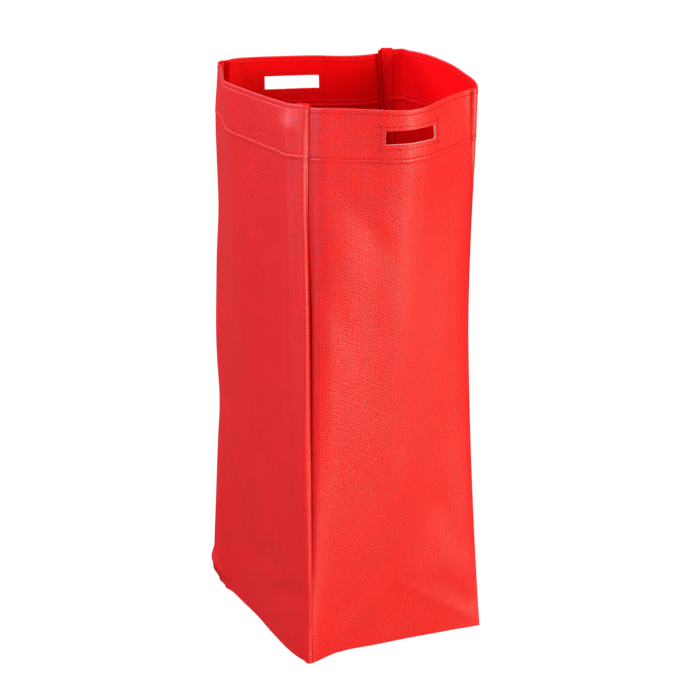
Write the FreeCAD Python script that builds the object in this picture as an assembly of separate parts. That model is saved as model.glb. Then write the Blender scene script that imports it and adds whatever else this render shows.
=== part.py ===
"""Tall red cloth gift bag for one wine bottle, sewn from coated Oxford cloth.

Frame: millimetres, +Z up, origin at the centre of the square base on the surface that the bag stands on.
The front panel, with its hand slot, faces -Y. The back panel, with the other hand slot, faces +Y.
The left gusset faces -X and the right gusset faces +X.

How it is made: four wall panels are sewn together at four corner seams and to a square base panel.
Each wall's top edge is turned in as a hem, held by one row of stitches under the rim and one at its foot.
The raw edges of each seam are bound with tape inside the bag, and a loose board stiffens the base.

Each wall is a ruled surface from a straight base edge to a curved rim, so the open mouth keeps the
rounded, slightly skewed shape of soft cloth. A "ply" is one layer of cloth of a wall, given by two heights,
two depths from the wall's outer face and a share of the wall's width.
"""

import FreeCAD
import Part
import os

Vector = FreeCAD.Vector

# Driving dimensions, in millimetres
HEIGHT = 355.0
BASE_WIDTH = 125.0
CLOTH = 0.45
HEM_DEPTH = 33.0
RIM_ROW_DROP = 3.2
HEM_ROW_DROP = 30.0
SLOT_WIDTH = 33.5
SLOT_HEIGHT = 9.0
SLOT_DROP = 12.5
FRONT_SLOT_SHIFT = 2.0
BACK_SLOT_SHIFT = 6.5
SLOT_STITCH_MARGIN = 3.0
THREAD_WIDTH = 0.5
THREAD_THICKNESS = 0.25
TAPE_WIDTH = 9.0
TAPE_THICKNESS = 1.1
TAPE_ABOVE_RIM = 1.2
BASE_TAPE_HEIGHT = 8.0
BOARD_WIDTH = 112.0
BOARD_THICKNESS = 2.0
BOARD_CORNER = 8.0
GAP = 0.1
SPLINE_DEGREE = 3

HALF = BASE_WIDTH / 2

# The rim, seen from above, as the control points of one smooth curve for each wall.
# The four seams are the points where two walls' lists meet.
FRONT_LEFT_SEAM = (-51.0, -57.5)
FRONT_RIGHT_SEAM = (53.0, -59.0)
BACK_RIGHT_SEAM = (47.5, 54.5)
BACK_LEFT_SEAM = (-58.5, 67.5)

FRONT_RIM = [
    FRONT_LEFT_SEAM, (-41.0, -64.5), (-24.5, -75.0), (-9.0, -85.0), (1.5, -89.0),
    (13.0, -84.0), (26.0, -75.5), (42.0, -64.5), FRONT_RIGHT_SEAM,
]
RIGHT_RIM = [
    FRONT_RIGHT_SEAM, (57.5, -58.5), (62.0, -50.0), (67.0, -34.0), (69.5, -16.0), (70.8, 2.0),
    (70.5, 20.0), (67.5, 36.0), (61.0, 48.5), (55.0, 55.5), BACK_RIGHT_SEAM,
]
BACK_RIM = [
    BACK_RIGHT_SEAM, (38.0, 52.0), (25.0, 52.0), (10.0, 54.5), (-4.0, 59.0),
    (-18.0, 63.0), (-32.0, 68.0), (-45.0, 70.5), BACK_LEFT_SEAM,
]
LEFT_RIM = [
    BACK_LEFT_SEAM, (-62.0, 57.0), (-67.0, 43.0), (-72.5, 28.5), (-74.3, 17.0), (-72.0, 3.0),
    (-69.3, -12.0), (-66.0, -27.0), (-61.5, -40.0), (-58.0, -47.5), (-54.5, -53.0), FRONT_LEFT_SEAM,
]


def inward(start, end):
    """The unit vector that points into the bag from the line start to end, walked anticlockwise."""
    along = end - start
    return Vector(-along.y, along.x, 0).normalize()


def mitre(first, second):
    """The vector that moves a corner one millimetre inwards from both of its walls."""
    return (first + second) / (1 + first.dot(second))


class Wall:
    """One wall of the bag: matching control points at the base and at the rim, and how each moves inwards."""

    def __init__(self, name, rim, base_start, base_end):
        self.name = name
        self.rim = [Vector(x, y, 0) for x, y in rim]
        steps = [(b - a).Length for a, b in zip(self.rim, self.rim[1:])]
        rim_length = sum(steps)
        start, end = Vector(*base_start, 0), Vector(*base_end, 0)
        self.base = [start]
        travelled = 0.0
        for step in steps:
            travelled += step
            self.base.append(start + (end - start) * (travelled / rim_length))
        self.base_inward = [inward(start, end)] * len(self.rim)
        self.rim_inward = [inward(self.rim[0], self.rim[1])]
        for before, after in zip(self.rim, self.rim[2:]):
            self.rim_inward.append(inward(before, after))
        self.rim_inward.append(inward(self.rim[-2], self.rim[-1]))
        spans = len(self.rim) - SPLINE_DEGREE
        ends = SPLINE_DEGREE + 1
        self.knots = [k / spans for k in range(spans + 1)]
        self.multiplicities = [ends] + [1] * (spans - 1) + [ends]

    def poles(self, z, depth):
        """The control points of the wall's plan curve at a height, at a depth from its outer face."""
        share = z / HEIGHT
        poles = []
        for i, (low, high) in enumerate(zip(self.base, self.rim)):
            at_base = low + self.base_inward[i] * depth
            at_rim = high + self.rim_inward[i] * depth
            pole = at_base * (1 - share) + at_rim * share
            poles.append(Vector(pole.x, pole.y, z))
        return poles

    def curve(self, z, depth):
        """The wall's plan curve at a height, at a depth from its outer face."""
        curve = Part.BSplineCurve()
        curve.buildFromPolesMultsKnots(
            self.poles(z, depth), self.multiplicities, self.knots, False, SPLINE_DEGREE
        )
        return curve

    def share_at(self, distance):
        """The curve parameter at a distance along the rim, from the first seam or back from the last one."""
        rim = self.curve(HEIGHT, 0)
        if distance < 0:
            return rim.parameterAtDistance(rim.length() + distance, 0.0)
        return rim.parameterAtDistance(distance, 0.0)

    def face(self, low, high, depth, start, end):
        """The ruled surface at one depth between two heights, over a share of the wall's width."""
        surface = Part.BSplineSurface()
        surface.buildFromPolesMultsKnots(
            [list(pair) for pair in zip(self.poles(low, depth), self.poles(high, depth))],
            self.multiplicities, [2, 2], self.knots, [0.0, 1.0], False, False, SPLINE_DEGREE, 1
        )
        surface.segment(start, end, 0.0, 1.0)
        return surface

    def ply(self, low, high, outer, inner, start=0.0, end=1.0):
        """A layer of the wall between two heights and two depths, over a share of its width."""
        outside = self.face(low, high, outer, start, end)
        inside = self.face(low, high, inner, start, end)
        faces = [outside.toShape(), inside.toShape()]
        for share in (start, end):
            corners = [[side.value(share, level) for level in (0.0, 1.0)] for side in (outside, inside)]
            edge = Part.BSplineSurface()
            edge.buildFromPolesMultsKnots(corners, [2, 2], [2, 2], [0.0, 1.0], [0.0, 1.0], False, False, 1, 1)
            faces.append(edge.toShape())
        for level in (0.0, 1.0):
            outer_edge = outside.vIso(level)
            inner_edge = inside.vIso(level)
            first = Part.makeLine(outer_edge.StartPoint, inner_edge.StartPoint)
            last = Part.makeLine(inner_edge.EndPoint, outer_edge.EndPoint)
            faces.append(Part.Face(Part.Wire([outer_edge.toShape(), last, inner_edge.toShape(), first])))
        shell = Part.Shell(faces)
        shell.sewShape()
        return closed_solid(shell)


def closed_solid(shell):
    """The solid inside a closed shell, with its faces turned outwards."""
    solid = Part.Solid(shell)
    if solid.Volume < 0:
        solid.reverse()
    return solid


def share_mitres(first, second):
    """Gives two walls the same end points at every depth, so that they meet face to face at their seam."""
    meeting = ((first.base_inward, second.base_inward), (first.rim_inward, second.rim_inward))
    for first_set, second_set in meeting:
        shared = mitre(first_set[-1], second_set[0])
        first_set[-1] = shared
        second_set[0] = shared


FRONT = Wall("front", FRONT_RIM, (-HALF, -HALF), (HALF, -HALF))
RIGHT = Wall("right", RIGHT_RIM, (HALF, -HALF), (HALF, HALF))
BACK = Wall("back", BACK_RIM, (HALF, HALF), (-HALF, HALF))
LEFT = Wall("left", LEFT_RIM, (-HALF, HALF), (-HALF, -HALF))
WALLS = [FRONT, RIGHT, BACK, LEFT]
for wall, neighbour in zip(WALLS, WALLS[1:] + WALLS[:1]):
    share_mitres(wall, neighbour)

SLOT_TOP = HEIGHT - SLOT_DROP
SLOT_BOTTOM = SLOT_TOP - SLOT_HEIGHT


def middle_share(wall, shift=0.0):
    """The curve parameter at the middle of a wall's rim, or a distance past it."""
    return wall.share_at(wall.curve(HEIGHT, 0).length() / 2 + shift)


def slot_place(wall, shift):
    """A point on the rim over the middle of a slot, and the angle that the wall's face is turned there."""
    rim = wall.curve(HEIGHT, 0)
    share = middle_share(wall, shift)
    along = rim.tangent(share)[0]
    angle = FreeCAD.Rotation(Vector(1, 0, 0), along)
    return rim.value(share), angle


def slot_cutter(wall, shift):
    """A block, longer than the wall is thick, that cuts the hand slot square to the wall."""
    point, angle = slot_place(wall, shift)
    reach = 30.0
    block = Part.makeBox(SLOT_WIDTH, 2 * reach, SLOT_HEIGHT, Vector(-SLOT_WIDTH / 2, -reach, 0))
    block.Placement = FreeCAD.Placement(Vector(point.x, point.y, SLOT_BOTTOM), angle)
    return block


def wall_panel(wall, slot_shift=None):
    """The outer cloth of a wall."""
    panel = wall.ply(0, HEIGHT, 0, CLOTH)
    if slot_shift is not None:
        panel = panel.cut(slot_cutter(wall, slot_shift))
    return panel


def wall_hem(wall, slot_shift=None):
    """The second ply at the top of a wall, where its cloth is turned in."""
    hem = wall.ply(HEIGHT - HEM_DEPTH, HEIGHT, CLOTH, 2 * CLOTH)
    if slot_shift is not None:
        hem = hem.cut(slot_cutter(wall, slot_shift))
    return hem


def thread_row(wall, z, start=0.0, end=1.0):
    """One row of stitches along a wall, on its outer face."""
    return wall.ply(z - THREAD_WIDTH / 2, z + THREAD_WIDTH / 2, -THREAD_THICKNESS, 0, start, end)


def thread_column(wall, low, high, distance, lengths=1):
    """A row of stitches up a wall, in some lengths, beside its first seam, or its last if negative."""
    start = wall.share_at(distance)
    end = wall.share_at(distance + THREAD_WIDTH)
    step = (high - low) / lengths
    return Part.makeCompound([
        wall.ply(low + i * step, low + (i + 1) * step - GAP, -THREAD_THICKNESS, 0, start, end)
        for i in range(lengths)
    ])


def slot_thread(wall, shift):
    """The box of stitches round a hand slot."""
    half_rim = wall.curve(HEIGHT, 0).length() / 2
    half_box = SLOT_WIDTH / 2 + SLOT_STITCH_MARGIN
    left, right = half_rim + shift - half_box, half_rim + shift + half_box
    low, high = SLOT_BOTTOM - SLOT_STITCH_MARGIN, SLOT_TOP + SLOT_STITCH_MARGIN
    rows = [thread_row(wall, z, wall.share_at(left), wall.share_at(right)) for z in (low, high)]
    inset = THREAD_WIDTH / 2 + GAP
    columns = [
        thread_column(wall, low + inset, high - inset, distance)
        for distance in (left, right - THREAD_WIDTH)
    ]
    return Part.makeCompound(rows + columns)


def seam_tape(gusset, at_first_seam):
    """The bound raw edges of a corner seam, inside the bag and pressed onto the gusset."""
    width = TAPE_WIDTH if at_first_seam else -TAPE_WIDTH
    share = gusset.share_at(width)
    start, end = (0.0, share) if at_first_seam else (share, 1.0)
    foot = BASE_TAPE_HEIGHT + 2 * GAP
    hem_foot = HEIGHT - HEM_DEPTH
    back_of_tape = 2 * CLOTH + TAPE_THICKNESS
    lower = gusset.ply(foot, hem_foot, CLOTH, back_of_tape, start, end)
    upper = gusset.ply(hem_foot, HEIGHT + TAPE_ABOVE_RIM, 2 * CLOTH, back_of_tape, start, end)
    return lower.fuse(upper)


def base_tape():
    """The bound raw edges of the base seam, turned up inside the walls."""
    foot = CLOTH + GAP
    strips = [wall.ply(foot, BASE_TAPE_HEIGHT, CLOTH, CLOTH + TAPE_THICKNESS) for wall in WALLS]
    return Part.makeCompound(strips)


def base_thread():
    """The stitches of the base seam, seen on the inside of its tape."""
    z = BASE_TAPE_HEIGHT / 2
    face = CLOTH + TAPE_THICKNESS
    strips = [
        wall.ply(z, z + THREAD_WIDTH, face, face + THREAD_THICKNESS)
        for wall in WALLS
    ]
    return Part.makeCompound(strips)


def base_panel():
    """The square cloth bottom, just inside the foot of the walls."""
    half = HALF - CLOTH - GAP
    return Part.makeBox(2 * half, 2 * half, CLOTH, Vector(-half, -half, 0))


def base_board():
    """The loose stiffening board that lies on the base panel."""
    half = BOARD_WIDTH / 2
    board = Part.makeBox(BOARD_WIDTH, BOARD_WIDTH, BOARD_THICKNESS, Vector(-half, -half, CLOTH + GAP))
    upright = [
        edge for edge in board.Edges
        if abs(edge.Vertexes[0].X - edge.Vertexes[1].X) < GAP
        and abs(edge.Vertexes[0].Y - edge.Vertexes[1].Y) < GAP
    ]
    return board.makeFillet(BOARD_CORNER, upright)


SLOT_SHIFTS = {"front": FRONT_SLOT_SHIFT, "back": BACK_SLOT_SHIFT}
RIM_ROW = HEIGHT - RIM_ROW_DROP
HEM_ROW = HEIGHT - HEM_ROW_DROP
PANEL_NAMES = {"front": "front_panel", "back": "back_panel", "left": "left_gusset", "right": "right_gusset"}

nodes = {}
for wall in WALLS:
    shift = SLOT_SHIFTS.get(wall.name)
    nodes[PANEL_NAMES[wall.name]] = wall_panel(wall, shift)
    nodes[wall.name + "_hem"] = wall_hem(wall, shift)
    nodes[wall.name + "_rim_stitching"] = thread_row(wall, RIM_ROW)
    nodes[wall.name + "_hem_stitching"] = thread_row(wall, HEM_ROW)
    if shift is not None:
        nodes[wall.name + "_slot_stitching"] = slot_thread(wall, shift)

nodes["front_left_seam_tape"] = seam_tape(LEFT, False)
nodes["back_left_seam_tape"] = seam_tape(LEFT, True)
nodes["front_right_seam_tape"] = seam_tape(RIGHT, True)
nodes["back_right_seam_tape"] = seam_tape(RIGHT, False)

SEAM_FOOT = 3.0
SEAM_TOP = HEM_ROW - 2.0
SEAM_DISTANCE = 1.0
SEAM_THREAD_LENGTHS = 10
for side, front_distance, back_distance in (
    ("left", SEAM_DISTANCE, -SEAM_DISTANCE - THREAD_WIDTH),
    ("right", -SEAM_DISTANCE - THREAD_WIDTH, SEAM_DISTANCE),
):
    for wall, distance in ((FRONT, front_distance), (BACK, back_distance)):
        seam_thread = thread_column(wall, SEAM_FOOT, SEAM_TOP, distance, SEAM_THREAD_LENGTHS)
        nodes[wall.name + "_" + side + "_seam_stitching"] = seam_thread

nodes["base_panel"] = base_panel()
nodes["base_seam_tape"] = base_tape()
nodes["base_seam_stitching"] = base_thread()
nodes["base_board"] = base_board()

os.makedirs("parts", exist_ok=True)
for name, shape in nodes.items():
    shape.exportStep(os.path.join("parts", name + ".step"))
    box = shape.BoundBox
    print(
        f"{name:28s} solids {len(shape.Solids)}  valid {shape.isValid()}  volume {shape.Volume:9.1f} mm3"
        f"  x {box.XMin:7.2f} {box.XMax:7.2f}  y {box.YMin:7.2f} {box.YMax:7.2f}"
        f"  z {box.ZMin:7.2f} {box.ZMax:7.2f}"
    )
print("rim lengths", {wall.name: round(wall.curve(HEIGHT, 0).length(), 1) for wall in WALLS})
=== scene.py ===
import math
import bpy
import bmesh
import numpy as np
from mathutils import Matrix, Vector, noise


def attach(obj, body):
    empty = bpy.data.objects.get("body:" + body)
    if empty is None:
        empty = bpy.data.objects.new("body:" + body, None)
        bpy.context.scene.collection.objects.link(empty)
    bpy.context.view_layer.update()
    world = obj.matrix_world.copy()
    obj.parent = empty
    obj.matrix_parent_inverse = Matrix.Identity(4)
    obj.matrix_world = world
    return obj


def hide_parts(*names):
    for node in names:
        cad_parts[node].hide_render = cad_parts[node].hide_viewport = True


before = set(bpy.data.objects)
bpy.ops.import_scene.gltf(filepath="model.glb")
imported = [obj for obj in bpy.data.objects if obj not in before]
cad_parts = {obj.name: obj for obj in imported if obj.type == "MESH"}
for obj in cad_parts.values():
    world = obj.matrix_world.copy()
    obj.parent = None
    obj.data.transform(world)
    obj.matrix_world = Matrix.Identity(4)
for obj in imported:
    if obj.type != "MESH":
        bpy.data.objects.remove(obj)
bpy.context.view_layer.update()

# %% [markdown]
# # A cloth gift bag for one wine bottle
# The real bag is cut from red polyester Oxford cloth, a firm weave with a coating on its inner side. Four
# walls are sewn together at four corner seams and to a square base. The mouth is a turned-in hem, and the
# front and back walls each have a cut hand slot. Nothing in it is hard except a loose board on its floor.
# All shapes below are worked out in millimetres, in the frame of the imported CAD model, and become metres
# last.

HEIGHT = 355.0
CLOTH = 0.45
MM = 0.001


def linked(name, data):
    """A new object in the scene."""
    thing = bpy.data.objects.new(name, data)
    bpy.context.scene.collection.objects.link(thing)
    return thing


# %% [markdown]
# ## The shape of the mouth, the waist and the foot
# Soft cloth that stands open isn't a box. Its foot is nearly square, its front stands out in a blunt ridge
# at the mouth, and the walls between are pulled in at the seams. A loft is a good way to make that: each
# wall has one outline seen from above at the foot, one at the waist and one at the rim, and heights between
# are blended. Walls are walked anticlockwise from above, so on every wall u runs to the right as seen from
# outside.

# %% Outlines of the four walls, seen from above
SEAMS = {
    "foot": {"FL": (-56.4, -69.6), "FR": (63.4, -64.9), "BR": (58.5, 62.6), "BL": (-60.0, 70.5)},
    "waist": {"FL": (-52.7, -62.0), "FR": (55.3, -60.0), "BR": (56.8, 61.7), "BL": (-58.4, 67.2)},
    "rim": {"FL": (-49.6, -55.2), "FR": (53.2, -58.9), "BR": (44.2, 51.6), "BL": (-54.2, 67.6)},
}
OUTLINES = {
    "front": {
        "ends": ("FL", "FR"),
        "foot": [(-52.0, -67.9), (-45.5, -65.2), (-38.0, -62.6), (-31.0, -61.8), (-10, -62.2), (20, -62.9),
                 (45, -63.8), (57, -64.6)],
        "waist": [(-51.2, -65.4), (-46.0, -68.4), (-36.0, -70.8), (-20, -73.0), (-2, -75.0), (18, -73.2),
                  (36, -70.4), (46, -67.4), (52.8, -63.2)],
        "rim": [(-45.5, -60.8), (-36.7, -66.8), (-22.0, -76.6), (-9.0, -84.8), (0.8, -87.7), (9.0, -85.6),
                (24.6, -76.1), (40.0, -65.5), (48.0, -60.6)],
    },
    "right": {
        "ends": ("FR", "BR"),
        "foot": [(63.8, -62.0), (63.2, -45.0), (62.5, 0.0), (62.5, 45.0), (62.6, 58.0), (61.5, 62.4)],
        "waist": [(56.8, -55.0), (58.6, -47.0), (61.0, -33.0), (63.2, -15.0), (64.5, 5.0), (63.9, 28.0),
                  (62.3, 46.0), (61.6, 56.5), (60.2, 61.2)],
        "rim": [(56.6, -59.2), (58.6, -56.6), (62.3, -49.4), (66.2, -36.5), (68.5, -18.0), (70.0, 0.0),
                (69.8, 16.6), (67.8, 31.0), (63.2, 41.5), (57.4, 48.4), (51.8, 52.0)],
    },
    "back": {
        "ends": ("BR", "BL"),
        "foot": [(30.0, 62.6), (0.0, 62.6), (-30.0, 62.8), (-50.0, 66.0)],
        "waist": [(30.0, 61.6), (0.0, 63.6), (-30.0, 66.0)],
        "rim": [(37.0, 50.6), (30.6, 50.3), (17.2, 52.0), (3.0, 57.0), (-8.0, 60.4), (-18.4, 63.6),
                (-34.5, 68.6), (-46.0, 70.2)],
    },
    "left": {
        "ends": ("BL", "FL"),
        "foot": [(-63.2, 69.8), (-65.0, 61.0), (-63.6, 45.0), (-62.4, 20.0), (-62.8, -20.0), (-62.6, -45.0),
                 (-60.9, -57.8), (-59.0, -64.6), (-58.0, -68.4)],
        "waist": [(-62.4, 67.2), (-64.2, 64.2), (-66.2, 46.0), (-66.8, 22.0), (-65.8, -5.0), (-63.5, -28.0),
                  (-61.6, -42.0), (-60.4, -51.0), (-58.9, -58.0), (-56.9, -60.9)],
        "rim": [(-57.4, 67.6), (-59.0, 66.0), (-62.3, 55.1), (-65.0, 46.5), (-70.8, 30.6), (-73.2, 19.5),
                (-71.8, 9.0), (-69.5, -3.1), (-65.7, -21.9), (-61.5, -36.5), (-58.4, -44.8), (-54.0, -49.9)],
    },
}
WIDTH = {"front": 117.0, "right": 132.0, "back": 117.0, "left": 132.0}
# the waist's height as a share of the bag's height
WAIST = 0.47
print("walls", WIDTH)

# %% [markdown]
# A few measured points are enough for an outline if a smooth line is drawn through them. A Hermite line
# passes through every point and has no corners. The walls' rows are then even steps along its length.

# %% A smooth line through points
def smooth_line(points, fractions):
    """Points at given fractions of the length of a smooth line through some points."""
    p = np.array(points, float)
    chord = np.r_[0, np.cumsum(np.linalg.norm(np.diff(p, axis=0), axis=1))]
    slope = np.gradient(p, chord, axis=0)
    t = np.linspace(0, chord[-1], 800)
    i = np.clip(np.searchsorted(chord, t, side="right") - 1, 0, len(p) - 2)
    h = (chord[i + 1] - chord[i])[:, None]
    x = (t[:, None] - chord[i][:, None]) / h
    line = ((1 + 2 * x) * (1 - x) ** 2 * p[i] + x * (1 - x) ** 2 * h * slope[i]
            + x * x * (3 - 2 * x) * p[i + 1] + x * x * (x - 1) * h * slope[i + 1])
    length = np.r_[0, np.cumsum(np.linalg.norm(np.diff(line, axis=0), axis=1))]
    at = np.asarray(fractions) * length[-1]
    return np.stack([np.interp(at, length, line[:, k]) for k in (0, 1)], -1), length[-1]


def outline(wall, level):
    first, last = OUTLINES[wall]["ends"]
    return [SEAMS[level][first], *OUTLINES[wall][level], SEAMS[level][last]]


for wall in OUTLINES:
    print(wall, {level: round(float(smooth_line(outline(wall, level), [0])[1]), 1) for level in SEAMS})

# %% [markdown]
# ## Folds and creases
# Cloth shows where it was folded and sewn. A crease is a short line that stands a little out of the wall or
# sinks into it, and fades to its sides. One function makes them all from two end points, a width and a
# height. A seam ridge, where the seam's allowance is pressed under the gusset, is a band along the wall's
# edge instead.

# %% Helpers for folds
def ease(x):
    """0 to 1, smoothly."""
    x = np.clip(x, 0, 1)
    return x * x * (3 - 2 * x)


def bump(x, middle, width):
    return np.exp(-((x - middle) / width) ** 2)


def fold(u, z, start, end, width, height, sharp=False):
    """A soft ridge, or a valley if height is negative, from one (u, z) point on the wall to another."""
    a, b = np.array(start, float), np.array(end, float)
    along = b - a
    t = ((u - a[0]) * along[0] + (z - a[1]) * along[1]) / (along @ along)
    inside = np.clip(t, 0, 1)
    away = np.hypot(u - a[0] - inside * along[0], z - a[1] - inside * along[1]) / width
    fade = ease(1.0 - np.abs(2 * inside - 1) ** 3 * 0.6)
    return height * fade * (np.exp(-away * 1.6) if sharp else np.exp(-away ** 2))


print("a fold's height across its middle", fold(np.arange(4), 0, (0, -9), (0, 9), 2, 1).round(2))

# %% [markdown]
# Each wall has its own folds. Lengths are in millimetres, and u is counted from the wall's left seam as
# seen from outside. The front has the blunt ridge's crease and, low down, the marks of having been stored
# folded flat.

# %% The folds of each wall
def front_folds(u, z):
    middle = 58.0
    d = 0.15 * bump(u, middle, 7) * ease((z - 70) / 60) * ease((350 - z) / 60)
    d += 1.6 * bump(u, 84, 26) * bump(z, 322, 18)
    d -= 1.1 * bump(u, 92, 15) * ease((210 - z) / 80) * ease((z - 40) / 60)
    d += fold(u, z, (middle - 1, 47), (middle + 2, 130), 6, 0.7)
    d += fold(u, z, (middle - 1, 46), (24, 10), 8, 0.35)
    d += fold(u, z, (middle - 1, 46), (114, 5), 3, 0.35, True)
    d += fold(u, z, (middle, 42), (middle - 3, 4), 5, -0.4)
    d += fold(u, z, (middle + 2, 18), (middle - 5, 2), 2.5, 0.35, True)
    d += fold(u, z, (110, 50), (84, 100), 7, -0.7)
    d += fold(u, z, (116, 14), (88, 40), 6, -0.6)
    d += fold(u, z, (16, 310), (48, 262), 8, -0.6)
    d += fold(u, z, (8, 290), (38, 236), 8, 0.25)
    d += fold(u, z, (2, 262), (24, 210), 7, -0.35)
    return d


def gusset_ridge(distance, strength):
    """The band over the pressed seam allowance: a soft rise that ends at the seam."""
    return strength * ease((5.6 - distance) / 2.6)


def tuck(wall, u, z):
    """How far a wall is drawn in towards the bag's middle: at each seam, and under the near ridge."""
    near = 0.22 * ease((312 - z) / 30) + 0.8 * ease((z - 40) / 60) * ease((290 - z) / 90)
    depth = {"FL": near, "FR": 0.22 * ease((z - 312) / 14)}
    first, last = (depth.get(seam, 0.22) for seam in OUTLINES[wall]["ends"])
    return first * ease(1 - u / (3.4 if wall == "front" else 0.7)) + last * ease(1 - (WIDTH[wall] - u) / 0.7)


def left_folds(u, z):
    seam = WIDTH["left"] - u
    wide = ease((z - 270) / 60)
    ridge = 0.1 + 1.5 * ease((z - 120) / 120) + 0.7 * ease((26 - z) / 18)
    d = ridge * bump(seam, 2.4 + 1.4 * wide, 2.2 + 0.8 * wide)
    d += 2.0 * bump(seam, 15, 7) * ease((z - 60) / 110) * ease((352 - z) / 12)
    d += 1.2 * bump(u, 60, 12) * bump(z, 250, 70)
    d -= 1.0 * bump(u, 88, 9) * bump(z, 220, 90)
    d += fold(u, z, (20, 130), (60, 62), 9, 0.9)
    d += fold(u, z, (50, 40), (96, 58), 10, -0.8)
    d += fold(u, z, (126, 44), (84, 30), 7, -0.9)
    d += fold(u, z, (-1, 25), (20, -2), 3.0, 1.8)
    d += fold(u, z, (6, 12), (16, 1), 2.8, -2.4)
    return d


def right_folds(u, z):
    d = gusset_ridge(u, 0.4 * ease((z - 300) / 20)) + gusset_ridge(WIDTH["right"] - u, 0.6)
    d += 1.2 * bump(u, 70, 20) * bump(z, 200, 90)
    d += fold(u, z, (20, 60), (60, 120), 9, -0.8)
    d += fold(u, z, (90, 220), (108, 290), 9, -0.7)
    d += 2.4 * bump(u, 116.5, 4.0) * ease((z - 290) / 30)
    return d


def back_folds(u, z):
    d = 0.8 * bump(u, 58, 5) * ease((z - 60) / 60) * ease((340 - z) / 60)
    d += fold(u, z, (58, 46), (24, 14), 7, 0.8)
    d += fold(u, z, (58, 46), (96, 16), 7, 0.8)
    d += fold(u, z, (70, 250), (100, 310), 9, -0.8)
    return d


FOLDS = {"front": front_folds, "right": right_folds, "back": back_folds, "left": left_folds}
for wall, folds in FOLDS.items():
    u, z = np.meshgrid(np.linspace(0, WIDTH[wall], 60), np.linspace(0, HEIGHT, 120))
    print(wall, "folds from", folds(u, z).min().round(1), "to", folds(u, z).max().round(1), "mm")

# %% [markdown]
# ## The surface of a wall
# The wall's outer face is the blend of its three outlines, moved along its own normal by its folds and by a
# slow random unevenness. Rows of stitching pull the cloth in slightly, so each row is a shallow groove too.

# %% Rows, rim and seam lines
# how far below the rim the two rows of stitches and the hem's edge are
RIM_ROW = 3.2
HEM_ROW = 30.0
HEM_DEPTH = 33.0
# how much higher each wall's rim is at its first and last edge
END_LIFT = {"front": (-0.9, 0.0), "right": (0.2, 0.6), "back": (-1.5, 0.0), "left": (0.0, 0.5)}


def rim_height(wall, u):
    """How far a wall's rim stands above or below the bag's height: seam ends are sewn a little off."""
    first, last = END_LIFT[wall]
    reach = 60.0 if wall == "back" else 12.0
    return first * ease(1 - u / reach) + last * ease(1 - (WIDTH[wall] - u) / 12.0)


# the seams' waves: seam, greatest move in x and y, the height of it, and its reach up and down
SWAY = (
    ("FL", -1.0, 0.5, 292, 48),
    ("FR", 1.5, -0.7, 298, 48),
    ("BL", -1.8, 0.0, 322, 22),
    ("BL", 1.8, 0.0, 262, 22),
    ("BL", -1.3, 0.0, 182, 28),
    ("BL", 1.7, 0.0, 132, 20),
    ("BL", -4.1, 0.0, 0, 70),
    ("BL", -1.5, 0.0, 8, 6),
)
SWAY_REACH = 14
print("waves of the seams", len(SWAY))

# %% [markdown]
# Two walls that share a seam have to meet along it, so a wave of the seam moves both walls alike, and a
# wall's own folds fade out in its last two millimetres. Normals come from the grid itself, so they follow
# every fold.

# %% Surface function
# a seam's wave has its full size this far above the foot
FOOT_HOLD = 11
# the slow unevenness: its depth, and how fast it changes along the wall and up it
UNEVEN_DEPTH, UNEVEN_ALONG, UNEVEN_UP = 0.55, 0.035, 0.016
# a wall's folds fade out this close to its seams
EDGE_FADE = 2.0
# the grooves that the two rows of stitches press into the cloth, and their width
GROOVES = ((HEIGHT - RIM_ROW, 0.10), (HEIGHT - HEM_ROW, 0.16))
GROOVE_WIDTH = 0.55
# how far the cloth stands out over the hem, and over what height it rises
HEM_RISE, HEM_STEP = 0.25, 1.5


def surface(wall, us, zs):
    """A wall's outer face on a grid: points in millimetres and outward normals, each rows by columns by 3."""
    us, zs = np.asarray(us, float), np.asarray(zs, float)
    share = np.clip(us / WIDTH[wall], 0, 1)
    foot, waist, rim = (smooth_line(outline(wall, level), share)[0] for level in ("foot", "waist", "rim"))
    s = (zs / HEIGHT)[:, None, None]
    plan = (foot * (s - WAIST) * (s - 1) / WAIST + waist * s * (s - 1) / (WAIST * (WAIST - 1))
            + rim * s * (s - WAIST) / (1 - WAIST))
    first, last = OUTLINES[wall]["ends"]
    at_end = {first: bump(us, 0, SWAY_REACH), last: bump(us, WIDTH[wall], SWAY_REACH)}
    for corner, x, y, height, reach in SWAY:
        if corner in at_end:
            wave = (ease(zs / FOOT_HOLD) * bump(zs, height, reach))[:, None, None]
            plan = plan + wave * at_end[corner][None, :, None] * np.array([x, y])
    z = zs[:, None] + rim_height(wall, us)[None, :] * ease((zs[:, None] - 250) / 100)
    if wall == "front":
        z = z + 1.3 * bump(us, 61, 15)[None, :] * bump(zs, 338, 8)[:, None]
    points = np.concatenate([plan, z[..., None]], -1)
    u2, z2 = np.meshgrid(us, zs)
    d = FOLDS[wall](u2, z2)
    d += np.array([
        [UNEVEN_DEPTH * noise.noise(Vector((u * UNEVEN_ALONG, h * UNEVEN_UP, len(wall)))) for u in us]
        for h in zs
    ])
    d *= ease(np.minimum(u2, WIDTH[wall] - u2) / EDGE_FADE)
    for row, depth in GROOVES:
        d -= depth * bump(z2, row, GROOVE_WIDTH)
    d += HEM_RISE * ease((z2 - (HEIGHT - HEM_DEPTH)) / HEM_STEP)
    points = points + normals_of(points, us, zs) * d[..., None]
    points[..., :2] += towards_axis(points) * tuck(wall, u2, z2)[..., None]
    return points, normals_of(points, us, zs)


def towards_axis(points):
    return -points[..., :2] / np.linalg.norm(points[..., :2], axis=-1, keepdims=True)


def normals_of(points, us, zs):
    n = np.cross(np.gradient(points, us, axis=1), np.gradient(points, zs, axis=0))
    return n / np.linalg.norm(n, axis=2, keepdims=True)


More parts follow.
